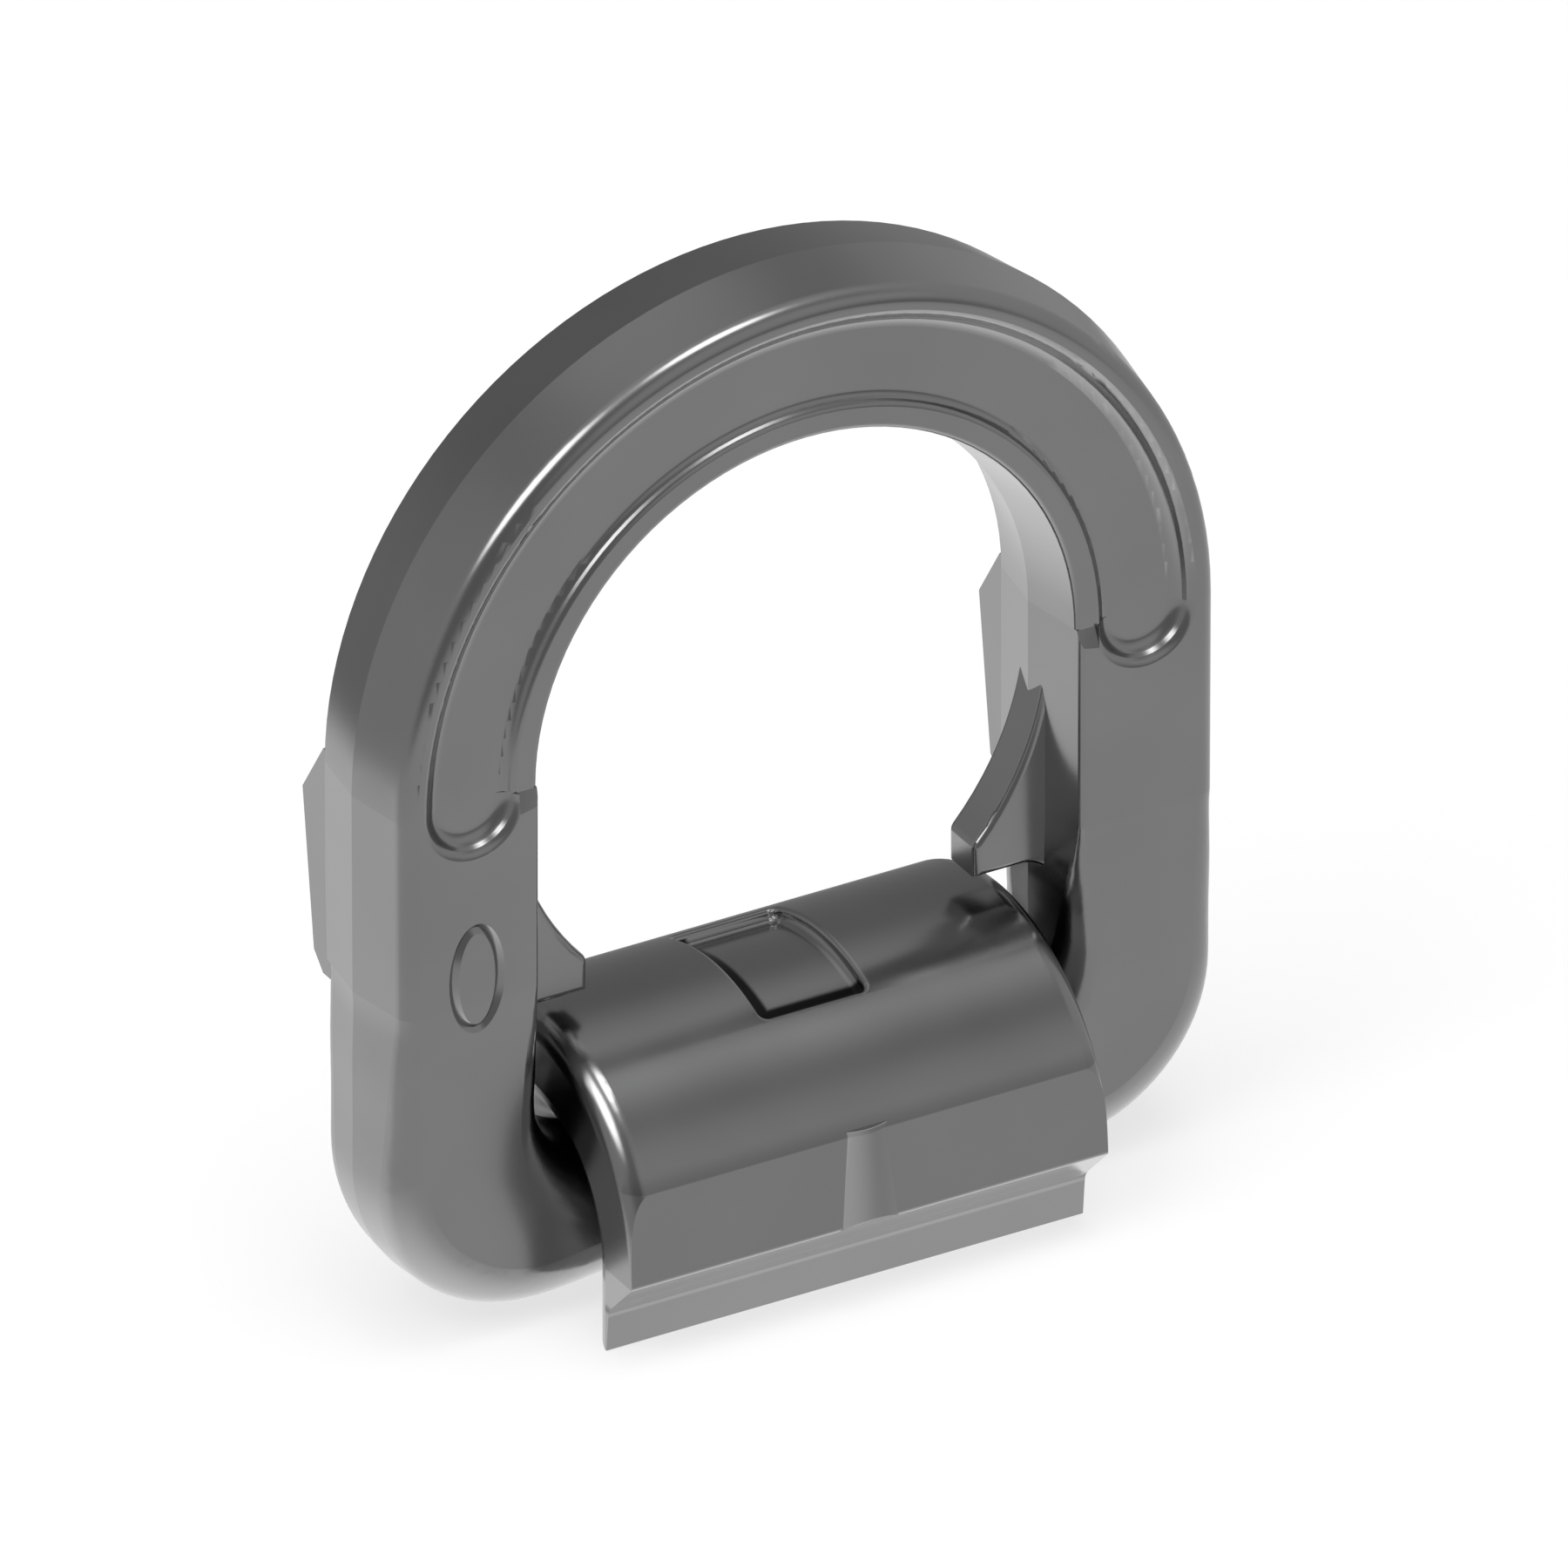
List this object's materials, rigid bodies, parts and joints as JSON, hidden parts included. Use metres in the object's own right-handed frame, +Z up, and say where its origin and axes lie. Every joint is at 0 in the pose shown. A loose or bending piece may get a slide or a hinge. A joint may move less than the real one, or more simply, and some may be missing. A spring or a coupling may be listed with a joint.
{
  "type": "weld-on lashing point",
  "caption": "Forged D-ring hinged in a weld-on saddle, a deck lashing point that folds flat both ways.",
  "frame": {"origin": "on the deck plane, under the middle of the ring's bar", "axes": "+X along the ring's bar, -Y towards the marked front, +Z up out of the deck"},
  "size_m": [0.1284, 0.0564, 0.1474],
  "materials": {
    "forged_steel": "satin grey, shot-blasted drop-forged steel",
    "spring_steel": "dark tempered strip"
  },
  "bodies": {
    "block": {"weld_block": "forged_steel", "clamp_spring": "spring_steel"},
    "ring": {"lashing_ring": "forged_steel"}
  },
  "joints": [
    {"name": "ring_fold", "type": "hinge", "parent": "block", "child": "ring", "pos_m": [0, 0, 0.0115], "axis": [1, 0, 0], "range_deg": [-85, 90]}
  ]
}
